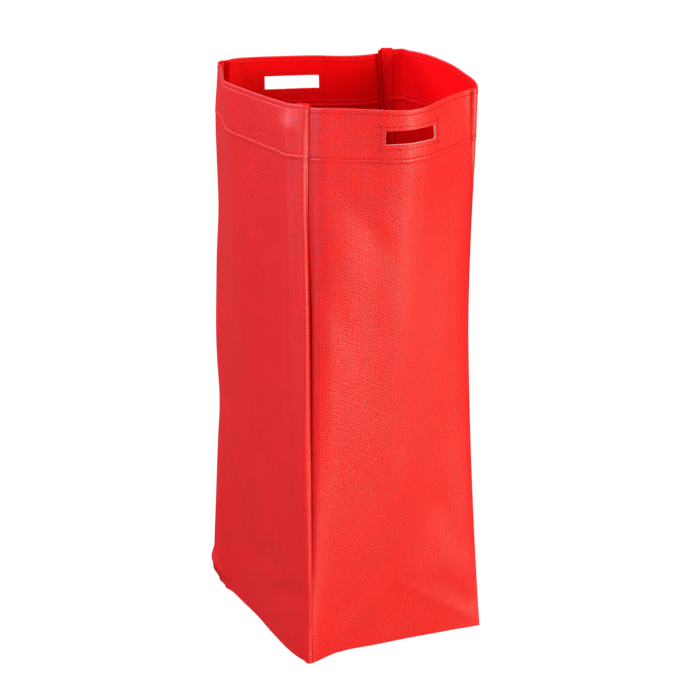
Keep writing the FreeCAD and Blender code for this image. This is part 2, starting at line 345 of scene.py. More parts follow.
for wall in OUTLINES:
    ends = surface(wall, [0, WIDTH[wall]], [HEIGHT - 1, HEIGHT])[0][1]
    print(wall, "rim ends", ends.round(1).tolist())

# %% [markdown]
# A grid needs lines exactly where an edge must be and close ones where a row of stitches dents the cloth.
# Elsewhere wide, even steps are enough.

# %% Grid lines
def lines(low, high, step, extra=(), fine=()):
    """Grid lines: even ones, with extra ones where an edge must be, and a cluster round each fine place."""
    even = np.linspace(low, high, int(round((high - low) / step)) + 1)
    near = [place + shift for place in fine for shift in (-1.4, -0.8, -0.4, 0, 0.4, 0.8, 1.4)]
    wanted = np.array([low, high, *extra])
    rest = [x for x in np.r_[near, even] if low < x < high and np.abs(wanted - x).min() > 0.3]
    chosen = list(wanted)
    for x in rest:
        if np.abs(np.array(chosen) - x).min() > 0.25:
            chosen.append(x)
    return np.array(sorted(chosen))


print("a grid with one fine place", lines(0, 12, 3, (), (6,)).round(1).tolist())

# %% [markdown]
# ## From a surface to cloth
# Cloth is a thin closed shell: an outer face, an inner face and the narrow edges between. The helper takes
# the two faces as matching grids, leaves out the cells of a cut hole, and closes every edge, so the mesh
# has no gaps.

# %% Shell mesh
def shell(name, outer, inner, uv, keep=None):
    """A closed mesh between two grids of points. Material 0 is outside, 1 inside, 2 the raw edge of a cut."""
    rows, cols = outer.shape[:2]
    keep = np.ones((rows - 1, cols - 1), bool) if keep is None else keep
    index = np.arange(rows * cols).reshape(rows, cols)
    a, b, c, d = index[:-1, :-1], index[:-1, 1:], index[1:, 1:], index[1:, :-1]
    far = rows * cols
    faces, kinds = [], []

    def add(quads, kind):
        faces.extend(quads.reshape(-1, 4).tolist())
        kinds.extend([kind] * (quads.size // 4))

    add(np.stack([a, b, c, d], -1)[keep], 0)
    add(np.stack([a, d, c, b], -1)[keep] + far, 1)
    padded = np.pad(keep, 1)
    around = {
        "down": (padded[:-2, 1:-1], b, a), "right": (padded[1:-1, 2:], c, b),
        "up": (padded[2:, 1:-1], d, c), "left": (padded[1:-1, :-2], a, d),
    }
    for side, (neighbour, start, end) in around.items():
        edge = keep & ~neighbour
        border = np.zeros_like(keep)
        row = {"down": 0, "up": -1}.get(side, slice(None))
        column = {"left": 0, "right": -1}.get(side, slice(None))
        border[row, column] = True
        for mask, kind in ((edge & border, 1), (edge & ~border, 2)):
            add(np.stack([start, end, end + far, start + far], -1)[mask], kind)
    used = np.unique(np.array(faces))
    renumber = np.full(2 * far, -1)
    renumber[used] = np.arange(len(used))
    points = np.concatenate([outer.reshape(-1, 3), inner.reshape(-1, 3)])[used] * MM
    mesh = bpy.data.meshes.new(name)
    mesh.from_pydata(points.tolist(), [], renumber[np.array(faces)].tolist())
    flat_uv = np.concatenate([uv.reshape(-1, 2)] * 2)[used] * MM
    corners = np.zeros(len(mesh.loops), int)
    mesh.loops.foreach_get("vertex_index", corners)
    mesh.uv_layers.new(name="cloth").data.foreach_set("uv", flat_uv[corners].ravel())
    mesh.polygons.foreach_set("material_index", kinds)
    mesh.polygons.foreach_set("use_smooth", [True] * len(kinds))
    mesh.set_sharp_from_angle(angle=math.radians(55))
    return linked(name, mesh)


# %% [markdown]
# ## Colours and a node helper
# Colours are written as the hex values a painter would pick, and shaders want linear light, so one function
# converts them. A second helper adds a shader node with its settings and inputs, so each finish reads as a
# list.

# %% Colour and node helpers
def tint(hex_code):
    parts = [int(hex_code[i:i + 2], 16) / 255 for i in (1, 3, 5)]
    return [c / 12.92 if c <= 0.04045 else ((c + 0.055) / 1.055) ** 2.4 for c in parts] + [1.0]


def add_node(tree, kind, inputs=None, **settings):
    """Adds a node. An input is a value, or another node's output socket to link."""
    node = tree.nodes.new(kind)
    for key, value in settings.items():
        setattr(node, key, value)
    for key, value in (inputs or {}).items():
        if isinstance(value, bpy.types.NodeSocket):
            tree.links.new(value, node.inputs[key])
        else:
            node.inputs[key].default_value = value
    return node


print("pure red in linear light", [round(c, 3) for c in tint("#FF0000")])

# %% [markdown]
# A few steps come back in every finish: a sum, a wave, noise, a mix of two colours and a bumped normal.
# Each gets a short name here, so that a finish below is only what is special about it.

# %% Short names for common nodes
def new_material(name):
    material = bpy.data.materials.new(name)
    material.use_nodes = True
    material.node_tree.nodes.clear()
    return material, material.node_tree


def maths(tree, operation, *values, clamp=False):
    inputs = dict(enumerate(values))
    return add_node(tree, "ShaderNodeMath", inputs, operation=operation, use_clamp=clamp).outputs[0]


def wave_of(tree, uv, across, up, pitch):
    """A sine from 0 to 1 over the cloth, in a direction given by across and up, that repeats every pitch."""
    turns = 2 * math.pi / (pitch * MM)
    dot = add_node(tree, "ShaderNodeVectorMath", {0: uv, 1: (across * turns, up * turns, 0)},
                   operation="DOT_PRODUCT").outputs["Value"]
    return maths(tree, "MULTIPLY_ADD", maths(tree, "SINE", dot), 0.5, 0.5)


def blend_colour(tree, factor, first, second):
    mix = add_node(tree, "ShaderNodeMix", {}, data_type="RGBA")
    for socket, value in ((mix.inputs["Factor"], factor), (mix.inputs[6], first), (mix.inputs[7], second)):
        if isinstance(value, bpy.types.NodeSocket):
            tree.links.new(value, socket)
        else:
            socket.default_value = value
    return mix.outputs[2]


def ramp(tree, value, low, high):
    inputs = {"Value": value, "From Min": low, "From Max": high}
    return add_node(tree, "ShaderNodeMapRange", inputs).outputs[0]


def noise_of(tree, place, scale, detail, roughness=0.5):
    inputs = {"Vector": place, "Scale": scale, "Detail": detail, "Roughness": roughness}
    return add_node(tree, "ShaderNodeTexNoise", inputs).outputs[0]


def bumped(tree, height, strength, distance, **under):
    """A normal tilted by a height pattern, on top of another bumped normal if one is given as Normal."""
    inputs = {"Height": height, "Strength": strength, "Distance": distance, **under}
    return add_node(tree, "ShaderNodeBump", inputs).outputs[0]


# %% [markdown]
# ## The cloth
# Oxford cloth is a basket weave of thick, flat yarns, and its diagonal lines show as fine twill-like dots. In
# the colour, the dots' light crests and dark gaps are the weave's pattern and partly painted highlight and
# painted shade on the yarns.
# The weave is drawn from the wall's own flat coordinates, so it follows each fold as real yarns do. Its
# repeat of 1.3 mm is a guess on the coarse side, so that it still shows from a distance. Slow noise gives
# the faint bands and speckle that coated cloth has.

# %% Oxford cloth
WEAVE = 1.3


def weave_of(tree, uv):
    """How high the cloth stands at each place: crossing yarns, and the slanted line that they make."""
    twill = wave_of(tree, uv, 0.8, 0.6, WEAVE)
    warp = wave_of(tree, uv, 1.0, 0.0, WEAVE)
    weft = wave_of(tree, uv, 0.0, 1.0, WEAVE)
    yarn = maths(tree, "MULTIPLY", warp, weft)
    return maths(tree, "MULTIPLY_ADD", yarn, 0.45, maths(tree, "MULTIPLY", twill, 0.55))


def cloth_material(name, light, dark, weave_depth, roughness, sheen, gloss, speckle):
    material, tree = new_material(name)
    uv = add_node(tree, "ShaderNodeUVMap", uv_map="cloth").outputs[0]
    weave = weave_of(tree, uv)
    cloudy, fine = noise_of(tree, uv, 42.0, 4.0, 0.55), noise_of(tree, uv, 900.0, 2.0)
    flecks = maths(tree, "MULTIPLY", ramp(tree, fine, 0.3, 0.7), speckle)
    # light yarn crests and dark gaps: the weave's pattern, partly painted highlight and painted shade
    shade = maths(tree, "MULTIPLY_ADD", weave, 0.85, flecks)
    shade = maths(tree, "MULTIPLY_ADD", ramp(tree, cloudy, 0.35, 0.65), 0.06, shade, clamp=True)
    small = bumped(tree, maths(tree, "MULTIPLY_ADD", fine, 0.2, weave), weave_depth, 0.0002)
    shader = add_node(tree, "ShaderNodeBsdfPrincipled", {
        "Base Color": blend_colour(tree, shade, tint(dark), tint(light)),
        "Normal": bumped(tree, noise_of(tree, uv, 30.0, 3.0), 0.08, 0.003, Normal=small),
        "Roughness": maths(tree, "MULTIPLY_ADD", fine, 0.12, roughness),
        "Specular IOR Level": gloss,
        "Sheen Weight": sheen,
        "Sheen Roughness": 0.4,
        "Sheen Tint": tint("#FFC2B8"),
    })
    add_node(tree, "ShaderNodeOutputMaterial", {"Surface": shader.outputs[0]})
    return material


# the right side of the red polyester Oxford cloth
OUTER_CLOTH = cloth_material("red_oxford_cloth", "#FF1C1A", "#8A0205", 0.75, 0.36, 0.0, 0.60, 0.30)
# the cloth's inner side, under its clear coating: deeper, smoother and a little shiny
COATED_CLOTH = cloth_material("red_cloth_coated_side", "#E80208", "#BC0105", 0.25, 0.45, 0.0, 0.06, 0.25)
# the raw edge of the cut slot, where the pale core of the yarns shows
CUT_EDGE = cloth_material("cut_yarn_ends", "#F6B9B0", "#DB5A52", 0.8, 0.7, 0.1, 0.3, 0.6)
# woven binding tape over the raw seam edges
TAPE = cloth_material("red_binding_tape", "#E8030A", "#B80206", 0.8, 0.5, 0.0, 0.1, 0.3)
CLOTH_FINISHES = (OUTER_CLOTH, COATED_CLOTH, CUT_EDGE)


def dress(thing, finishes=CLOTH_FINISHES):
    """Gives a piece its finishes, in the order of its faces' numbers."""
    for finish in finishes:
        thing.data.materials.append(finish)


print("finishes", [finish.name for finish in (*CLOTH_FINISHES, TAPE)])

# %% [markdown]
# ## The four walls
# Each wall is one piece of cloth from the foot to the rim. At the rim it rolls over a half round and meets
# the hem inside. At both side edges it turns into the seam, which is what makes the dark line between two
# walls. The hand slots are cut out of the grid, so the grid has lines exactly on the slot's four edges.

# %% Slots and grids of the walls
# each hand slot's middle, counted along the wall, and its width
SLOTS = {"front": (61.3, 34.2), "back": (66.5, 38.9)}
SLOT_LOW, SLOT_HIGH = HEIGHT - 21.3, HEIGHT - 12.9
# how far the flange's columns reach into the seam, and the radius of the rim's roll
FLANGE = (0.5, 1.5, 3.2)
CROWN = 0.55


def slot_edges(wall):
    if wall not in SLOTS:
        return None
    middle, width = SLOTS[wall]
    return middle - width / 2, middle + width / 2


def slot_mask(wall, us, zs):
    """False for the cells of the grid that the hand slot cuts away."""
    keep = np.ones((len(zs) - 1, len(us) - 1), bool)
    if wall in SLOTS:
        left, right = slot_edges(wall)
        mid_u, mid_z = (us[:-1] + us[1:]) / 2, (zs[:-1] + zs[1:]) / 2
        keep[np.ix_((mid_z > SLOT_LOW) & (mid_z < SLOT_HIGH), (mid_u > left) & (mid_u < right))] = False
    return keep


def wall_lines(wall, low=0.0, high=HEIGHT - CROWN, step=2.2):
    ends = [d for e in (0.5, 1.0, 1.7, 2.6, 3.6, 4.4, 5.2, 6.4) for d in (e, WIDTH[wall] - e)]
    us = lines(0.25, WIDTH[wall] - 0.25, 1.7, [*ends, *(slot_edges(wall) or ())], slot_edges(wall) or ())
    edges = [z for z in (SLOT_LOW, SLOT_HIGH) if wall in SLOTS]
    rows = [HEIGHT - RIM_ROW, HEIGHT - HEM_ROW, HEIGHT - HEM_DEPTH]
    return us, lines(low, high, step, edges, rows + edges)


print("grid of the front wall", [len(line) for line in wall_lines("front")])

# %% [markdown]
# Past each side edge the cloth turns towards the bag's middle and lies against its neighbour's. Those
# flanges close the seam, and show the coated side. The rim's roll is eight more rows, worked out as a half
# circle.

# %% Build the walls
def with_flanges(points, ply):
    """Adds columns at both side edges that turn into the seam, towards the bag's middle, face to face."""
    first, last = [], []
    for end, columns, side in ((points[:, :1], first, -1.0), (points[:, -1:], last, 1.0)):
        inward = np.zeros_like(end)
        inward[..., :2] = towards_axis(end)
        across = np.stack([inward[..., 1], -inward[..., 0], np.zeros_like(inward[..., 0])], -1) * side
        columns += [end + inward * d + across * (0.06 * (1 - min(d, 1)) - ply) for d in FLANGE]
    return np.concatenate([*first[::-1], points, *last], 1)


def build_wall(wall):
    us, zs = wall_lines(wall)
    points, normals = surface(wall, us, zs)
    turn = np.radians(np.linspace(0, 180, 9))[1:]
    up = np.array([0.0, 0.0, 1.0])
    outer_rows, inner_rows, heights = [points], [points - normals * CLOTH], [zs]
    for angle in turn:
        centre = points[-1] - normals[-1] * CROWN
        direction = normals[-1] * math.cos(angle) + up * math.sin(angle)
        outer_rows.append((centre + direction * CROWN)[None])
        inner_rows.append((centre + direction * (CROWN - CLOTH))[None])
        heights.append([zs[-1] + CROWN * angle])
    outer, inner = np.concatenate(outer_rows), np.concatenate(inner_rows)
    all_z = np.concatenate(heights)
    keep = np.pad(slot_mask(wall, us, all_z), ((0, 0), (len(FLANGE), len(FLANGE))), constant_values=True)
    wide_u = np.r_[us[0] - np.array(FLANGE[::-1]), us, us[-1] + np.array(FLANGE)]
    uv = np.stack(np.meshgrid(wide_u, all_z), -1)
    thing = shell(wall + "_wall_cloth", with_flanges(outer, 0.0), with_flanges(inner, 0.15), uv, keep)
    dress(thing)
    along = thing.data.uv_layers["cloth"].data
    for face in thing.data.polygons:
        u = sum(along[i].uv.x for i in face.loop_indices) / face.loop_total / MM
        if face.material_index == 0 and not 0 < u < WIDTH[wall]:
            face.material_index = 1
    return thing


walls = {wall: build_wall(wall) for wall in OUTLINES}
for wall, thing in walls.items():
    print(thing.name, len(thing.data.polygons), "faces")

# %% [markdown]
# ## The hems
# The top of each wall is turned in by 33 mm and sewn down, so the mouth has a second ply inside. Its face
# towards the bag's inside has the coated finish, like the rest of the inside. Its foot is a pressed fold
# and wanders a little.

# %% Build the hems
# the hem's near face lies this deep behind the wall's outer face, just clear of its inner one
HEM_GAP = 0.52


def layer(name, wall, us, zs, near, far, keep=None):
    """A ply that lies inside a wall, between two depths from the wall's outer face."""
    points, normals = surface(wall, us, zs)
    near, far = (np.broadcast_to(depth, points.shape[:2])[..., None] for depth in (near, far))
    uv = np.stack(np.meshgrid(us, zs), -1)
    return shell(name, points - normals * near, points - normals * far, uv, keep)


def build_hem(wall):
    us, zs = wall_lines(wall, HEIGHT - HEM_DEPTH, HEIGHT - CROWN - 0.15, 1.6)
    us = us[(us > 0.8) & (us < WIDTH[wall] - 0.8)]
    loose = 0.5 * np.exp(-(zs - zs[0]) / 2.0)[:, None]
    near, far = HEM_GAP + loose, HEM_GAP + CLOTH + loose
    thing = layer(wall + "_hem_cloth", wall, us, zs, near, far, slot_mask(wall, us, zs))
    dress(thing)
    return thing


hems = {wall: build_hem(wall) for wall in OUTLINES}
print("hems", [len(h.data.polygons) for h in hems.values()])

# %% [markdown]
# ## Tapes
# Inside each corner the raw edges are bound with tape and pressed onto the gusset. Where two thick seams
# meet at the mouth, the bound edge stands a little above the rim. The base seam has the same tape, turned
# up.

# %% Build the tapes
# the height of a corner tape's foot, and how deep its near face lies behind the wall's outer face
TAPE_FOOT = 8.5
TAPE_DEPTH = 0.6


def build_tape(name, wall, start, end, low, high, near=TAPE_DEPTH):
    """A slightly domed strip on a wall's inner face, between two places along the wall and two heights."""
    us, zs = np.linspace(start, end, 13), lines(low, high, 6.0, (), (HEIGHT - HEM_DEPTH,))
    across = np.linspace(-1, 1, 13)
    thick = 0.25 + 0.85 * np.sqrt(1 - across ** 4 * 0.97)
    step_in = CLOTH * ease((zs - (HEIGHT - HEM_DEPTH - 3)) / 3)[:, None]
    thing = layer(name, wall, us, zs, near + step_in, near + step_in + thick[None, :])
    dress(thing, [TAPE])
    return thing


# each tape: its wall, where it starts and ends along the wall, and the heights of its foot and top
tapes = {
    "front_left": build_tape("front_left_binding", "left", 122.6, 131.6, TAPE_FOOT, HEIGHT + 0.6),
    "back_left": build_tape("back_left_binding", "left", 0.6, 9.2, TAPE_FOOT, HEIGHT + 0.2),
    "front_right": build_tape("front_right_binding", "right", 0.6, 9.2, TAPE_FOOT, HEIGHT - 0.2),
    "back_right": build_tape("back_right_binding", "right", 122.8, 131.6, TAPE_FOOT, HEIGHT + 0.9),
}
base_strips = [
    build_tape("base_binding_" + wall, wall, 2.0, WIDTH[wall] - 2.0, 0.8, 8.0, 0.7) for wall in OUTLINES
]
print("tapes", len(tapes) + len(base_strips))


def joined(name, things):
    """One mesh from several."""
    mesh = bmesh.new()
    for thing in things:
        mesh.from_mesh(thing.data)
    data = bpy.data.meshes.new(name)
    mesh.to_mesh(data)
    mesh.free()
    result = linked(name, data)
    dress(result, things[0].data.materials)
    for thing in things:
        bpy.data.objects.remove(thing)
    return result


base_tape = joined("base_binding", base_strips)
print("base tape", len(base_tape.data.polygons), "faces")

# %% [markdown]
# ## The base
# The base panel is a square of the same cloth. Its edge follows the foot of the walls, so it is made of
# rings that run from the middle out to that outline.

# %% Build the base panel
def build_base():
    rim = np.concatenate([surface(w, np.linspace(1.2, WIDTH[w] - 1.2, 30), [0, 1])[0][0] for w in OUTLINES])
    inwards = rim[:, :2] * (1 - 1.0 / np.linalg.norm(rim[:, :2], axis=1, keepdims=True))
    inwards = np.concatenate([inwards, inwards[:1]])
    rings = np.linspace(0.02, 1.0, 26)
    low = np.array([[(x * r, y * r, 0.05) for x, y in inwards] for r in rings])
    low[..., 2] += 0.25 + 0.25 * np.sin(low[..., 0] * 0.11) * np.cos(low[..., 1] * 0.09)
    high = low + (0, 0, CLOTH)
    return low, high


low, high = build_base()
base = shell("base_cloth", low[::-1], high[::-1], low[::-1][..., :2])
dress(base)
print("base", len(base.data.polygons))

# %% [markdown]
# ## The board
# The board is a plain stiff sheet that lies loose on the base. Four quarter circles joined up give its
# outline, which is pulled up to its thickness and gets slightly rounded edges.

# %% Build the board
# its width, the heights of its two faces, and the radius of its corners
BOARD_WIDTH, BOARD_LOW, BOARD_HIGH, BOARD_CORNER = 112.0, 0.95, 2.55, 8.0


def build_board():
    mesh = bmesh.new()
    h, r = BOARD_WIDTH / 2, BOARD_CORNER
    corners = [(h - r, h - r, 0), (r - h, h - r, 90), (r - h, r - h, 180), (h - r, r - h, 270)]
    ring = [
        (x + r * math.cos(math.radians(start + turn)), y + r * math.sin(math.radians(start + turn)))
        for x, y, start in corners for turn in range(0, 91, 10)
    ]
    face = mesh.faces.new([mesh.verts.new((x * MM, y * MM, BOARD_LOW * MM)) for x, y in ring])
    face.normal_flip()
    top = bmesh.ops.extrude_face_region(mesh, geom=[face])
    moved = [v for v in top["geom"] if isinstance(v, bmesh.types.BMVert)]
    bmesh.ops.translate(mesh, verts=moved, vec=(0, 0, (BOARD_HIGH - BOARD_LOW) * MM))
    bmesh.ops.recalc_face_normals(mesh, faces=mesh.faces)
    hard = [e for e in mesh.edges if e.is_manifold and e.calc_face_angle() > 1]
    bmesh.ops.bevel(mesh, geom=hard, offset=0.3 * MM, segments=2, affect="EDGES")
    data = bpy.data.meshes.new("stiffening_board")
    mesh.to_mesh(data)
    mesh.free()
    return linked("stiffening_board", data)


board = build_board()
print("board", BOARD_WIDTH, "mm square,", len(board.data.polygons), "faces")

# %% [markdown]
# The board is dark grey extruded plastic with a fine grain, and a few scuffs from bottles.

# %% Board finish
def board_material():
    material, tree = new_material("grey_extruded_board")
    place = add_node(tree, "ShaderNodeTexCoord").outputs["Object"]
    grain, scuff = noise_of(tree, place, 700.0, 3.0), noise_of(tree, place, 35.0, 6.0)
    colour = blend_colour(tree, ramp(tree, scuff, 0.35, 0.75), tint("#3A3B3D"), tint("#5A5B5E"))
    rough = maths(tree, "MULTIPLY_ADD", scuff, 0.3, 0.45)
    shader = add_node(tree, "ShaderNodeBsdfPrincipled", {
        "Base Color": colour, "Normal": bumped(tree, grain, 0.3, 0.0002), "Roughness": rough})
    add_node(tree, "ShaderNodeOutputMaterial", {"Surface": shader.outputs[0]})
    return material


dress(board, [board_material()])
print("board finish", board.data.materials[0].name)

# %% [markdown]
# ## Stitches
# Every row of sewing on the bag is the same lockstitch, about 3.5 mm long. What repeats is a job for
# Geometry Nodes: a row is a line of points on the cloth that carries the cloth's outward direction, and the
# tree sets one short arched thread on it per stitch. Its settings are named inputs, and a fixed seed makes
# it repeatable.

# %% One stitch
# the thread's thickness, and the length of one stitch with its gap
THREAD = 0.42
PITCH = 3.5


def build_stitch():
    """A short round thread along X that arches out of the cloth and dives into it at both ends."""
    mesh = bmesh.new()
    rings = []
    for t in np.linspace(-1, 1, 9):
        x, z = t * 0.43 * PITCH, 0.34 * THREAD * (1 - t * t) ** 0.6 - 0.36 * THREAD * t ** 8
        radius = 0.5 * THREAD * (1 - 0.25 * t ** 6)
        rings.append([
            mesh.verts.new((x * MM, radius * math.cos(a) * MM, (z + 0.75 * radius * math.sin(a)) * MM))
            for a in np.linspace(0, 2 * math.pi, 7)[:-1]
        ])
    for before, after in zip(rings, rings[1:]):
        for i in range(6):
            mesh.faces.new([before[i], before[(i + 1) % 6], after[(i + 1) % 6], after[i]])
    mesh.faces.new(rings[0][::-1])
    mesh.faces.new(rings[-1])
    bmesh.ops.recalc_face_normals(mesh, faces=mesh.faces)
    data = bpy.data.meshes.new("one_stitch")
    mesh.to_mesh(data)
    mesh.free()
    data.polygons.foreach_set("use_smooth", [True] * len(data.polygons))
    return linked("one_stitch", data)


stitch = build_stitch()
print("one stitch", len(stitch.data.polygons), "faces")

# %% [markdown]
# The thread is spun red polyester, a touch glossier than the cloth. It has two copies of one colour: a darker
# one, whose colour is painted shade in the dents of the stitches, and a paler one, whose colour is a painted
# highlight.

# %% Thread finish
def thread_material(name, dark, light):
    material, tree = new_material(name)
    place = add_node(tree, "ShaderNodeTexCoord").outputs["Object"]
    fibre = noise_of(tree, place, 2500.0, 2.0)
    colour = blend_colour(tree, ramp(tree, fibre, 0.35, 0.65), tint(dark), tint(light))
    rough = maths(tree, "MULTIPLY_ADD", fibre, 0.2, 0.4)
    shader = add_node(tree, "ShaderNodeBsdfPrincipled", {
        "Base Color": colour, "Normal": bumped(tree, fibre, 0.4, 0.0001), "Roughness": rough,
        "Specular IOR Level": 0.25})
    add_node(tree, "ShaderNodeOutputMaterial", {"Surface": shader.outputs[0]})
    return material


# darker copy: its colour is painted shade in the stitches' dents
SHADED_THREAD = thread_material("red_polyester_thread", "#980408", "#C00A10")
# paler copy: its colour is a painted highlight where light catches the thread
HIGHLIT_THREAD = thread_material("red_thread_painted_highlight", "#E03834", "#FF7A70")
print("threads", SHADED_THREAD.name, HIGHLIT_THREAD.name)

# %% [markdown]
# The tree turns a line of points into an even curve with one point per stitch, aligns a stitch to the curve
# and to the cloth there, turns it a little at random, and gives all of them the thread's finish.

# %% The tree that sews a row
SEWING_INPUTS = {
    "Geometry": "Geometry", "Stitch": "Object", "Pitch": "Float", "Unevenness": "Float", "Seed": "Int",
    "Thread": "Material",
}


def sewing_tree():
    tree = bpy.data.node_groups.new("row_of_stitches", "GeometryNodeTree")
    for name, kind in SEWING_INPUTS.items():
        tree.interface.new_socket(name, in_out="INPUT", socket_type="NodeSocket" + kind)
    tree.interface.new_socket("Geometry", in_out="OUTPUT", socket_type="NodeSocketGeometry")
    given = add_node(tree, "NodeGroupInput").outputs
    curve = add_node(tree, "GeometryNodeMeshToCurve", {"Mesh": given["Geometry"]})
    even = add_node(tree, "GeometryNodeResampleCurve", {"Curve": curve.outputs[0], "Length": given["Pitch"]},
                    mode="LENGTH")
    outward = add_node(tree, "GeometryNodeInputNamedAttribute", {"Name": "outward"}, data_type="FLOAT_VECTOR")
    tangent = add_node(tree, "GeometryNodeInputTangent")
    along = add_node(tree, "FunctionNodeAlignRotationToVector", {"Vector": tangent.outputs[0]}, axis="X")
    facing = add_node(tree, "FunctionNodeAlignRotationToVector",
                      {"Rotation": along.outputs[0], "Vector": outward.outputs[0]}, axis="Z", pivot_axis="X")
    spread = add_node(tree, "ShaderNodeMath", {0: given["Unevenness"], 1: -1.0}, operation="MULTIPLY")
    random_turn = add_node(tree, "FunctionNodeRandomValue",
                           {"Min": spread.outputs[0], "Max": given["Unevenness"], "Seed": given["Seed"]},
                           data_type="FLOAT")
    euler = add_node(tree, "ShaderNodeCombineXYZ", {"Z": random_turn.outputs["Value"]})
    turn = add_node(tree, "FunctionNodeEulerToRotation", {0: euler.outputs[0]})
    turned = add_node(tree, "FunctionNodeRotateRotation",
                      {"Rotation": facing.outputs[0], "Rotate By": turn.outputs[0]}, rotation_space="LOCAL")
    unit = add_node(tree, "GeometryNodeObjectInfo", {"Object": given["Stitch"]})
    sewn = add_node(tree, "GeometryNodeInstanceOnPoints", {
        "Points": even.outputs[0], "Instance": unit.outputs["Geometry"], "Rotation": turned.outputs[0]})
    real = add_node(tree, "GeometryNodeRealizeInstances", {"Geometry": sewn.outputs[0]})
    painted = add_node(tree, "GeometryNodeSetMaterial",
                       {"Geometry": real.outputs[0], "Material": given["Thread"]})
    add_node(tree, "NodeGroupOutput", {"Geometry": painted.outputs[0]})
    return tree


SEWING = sewing_tree()
print("nodes that sew a row", len(SEWING.nodes))

# %% [markdown]
# A row starts as bare points and edges with each point's outward direction as an attribute. The tree sews
# it, and the result is kept as a plain mesh, so that nothing has to be worked out again later.

# %% Sew one row
def sew(name, paths, seed, finish=SHADED_THREAD):
    """Stitches along some paths, each a pair of arrays: points in millimetres and outward directions."""
    mesh = bpy.data.meshes.new(name)
    points = np.concatenate([p for p, n in paths])
    edges, first = [], 0
    for p, n in paths:
        edges += [(first + i, first + i + 1) for i in range(len(p) - 1)]
        first += len(p)
    mesh.from_pydata((points * MM).tolist(), edges, [])
    attribute = mesh.attributes.new("outward", "FLOAT_VECTOR", "POINT")
    attribute.data.foreach_set("vector", np.concatenate([n for p, n in paths]).ravel())
    row = linked(name, mesh)
    modifier = row.modifiers.new("sewing", "NODES")
    modifier.node_group = SEWING
    settings = {"Stitch": stitch, "Pitch": PITCH * MM, "Unevenness": 0.06, "Seed": seed, "Thread": finish}
    for item in SEWING.interface.items_tree:
        if item.in_out == "INPUT" and item.name in settings:
            modifier[item.identifier] = settings[item.name]
    made = bpy.data.meshes.new_from_object(row.evaluated_get(bpy.context.evaluated_depsgraph_get()))
    row.modifiers.clear()
    row.data = made
    made.name = name
    return row


# %% [markdown]
# A row runs along a wall at one height, and a column runs up it at one place. Both lie on the cloth's outer
# face, or at a given depth inside it. Every path has the same number of points, far more than it has
# stitches.

# %% Rows and columns of sewing
PATH_POINTS = 160
# a row starts and ends this far from the wall's seams
ROW_INSET = 1.5


def row_path(wall, z, start=ROW_INSET, end=None, lift=0.05, inside=0.0):
    us = np.linspace(start, (WIDTH[wall] - ROW_INSET) if end is None else end, PATH_POINTS)
    points, normals = surface(wall, us, [z - 0.4, z, z + 0.4])
    if inside:
        return points[1] - normals[1] * (inside + lift), -normals[1]
    return points[1] + normals[1] * lift, normals[1]


def column_path(wall, u, low, high, lift=0.05, inside=0.0):
    zs = np.linspace(low, high, PATH_POINTS)
    points, normals = surface(wall, [u - 0.4, u, u + 0.4], zs)
    if inside:
        return points[:, 1] - normals[:, 1] * (inside + lift), -normals[:, 1]
    return points[:, 1] + normals[:, 1] * lift, normals[:, 1]


def both_sides(path_of, *place, **more):
    """A lockstitch shows on the outside and, 1 mm or so deeper, on the inside."""
    return [path_of(*place, **more), path_of(*place, inside=1.0, **more)]


print("a row's path", both_sides(row_path, "front", HEIGHT - RIM_ROW)[0][0].shape)

# %% [markdown]
# Every wall has a row under its rim and one at the foot of its hem, and each hand slot has a box of stitches
# round it. The left wall's rows get the paler thread, a painted highlight for the light they catch; every
# other row gets the darker thread, painted shade.

# %% Sew the rims, hems and slots
# how far the box of stitches stands off the slot's edges
SLOT_BOX = 2.6
threads = {}
for seed, wall in enumerate(OUTLINES):
    # the left wall's thread is paler as a painted highlight, the rest darker as painted shade
    finish = HIGHLIT_THREAD if wall == "left" else SHADED_THREAD
    for row, drop in (("rim", RIM_ROW), ("hem", HEM_ROW)):
        paths = both_sides(row_path, wall, HEIGHT - drop)
        threads[wall + "_" + row + "_stitching"] = sew(wall + "_" + row + "_thread", paths, seed, finish)
    if wall in SLOTS:
        left, right = slot_edges(wall)
        left, right, low, high = left - SLOT_BOX, right + SLOT_BOX, SLOT_LOW - SLOT_BOX, SLOT_HIGH + SLOT_BOX
        box = [p for z in (low, high) for p in both_sides(row_path, wall, z, start=left, end=right)]
        box += [p for u in (left, right) for p in both_sides(column_path, wall, u, low, high)]
        threads[wall + "_slot_stitching"] = sew(wall + "_slot_thread", box, 20 + seed)
print("rows", len(threads))

# %% [markdown]
# Seams are sewn on the inside only, but for the short run that shows on the front at the right end of the
# hem. A seam holds the edge of a wall, so its stitches lie a little in from that edge.

# %% Sew the seams
# each seam, the wall that its stitches lie on, and their place along it
SEAM_COLUMNS = (
    ("front_left", "left", 130.2), ("back_left", "left", 1.8), ("front_right", "right", 1.8),
    ("back_right", "right", 130.2),
)
for seed, (corner, wall, u) in enumerate(SEAM_COLUMNS):
    paths = [column_path(wall, u, 10, HEIGHT - 2, inside=1.75)]
    if corner == "front_right":
        paths.append(column_path("front", WIDTH["front"] - 1.0, HEIGHT - HEM_DEPTH, HEIGHT - 3))
    threads[corner + "_seam_stitching"] = sew(corner + "_seam_thread", paths, 30 + seed)
foot_rows = [row_path(wall, 4.2, start=4, end=WIDTH[wall] - 4, inside=1.8) for wall in OUTLINES]
threads["base_seam_stitching"] = sew("base_seam_thread", foot_rows, 40)
bpy.data.objects.remove(stitch)
print("stitch faces", sum(len(t.data.polygons) for t in threads.values()))
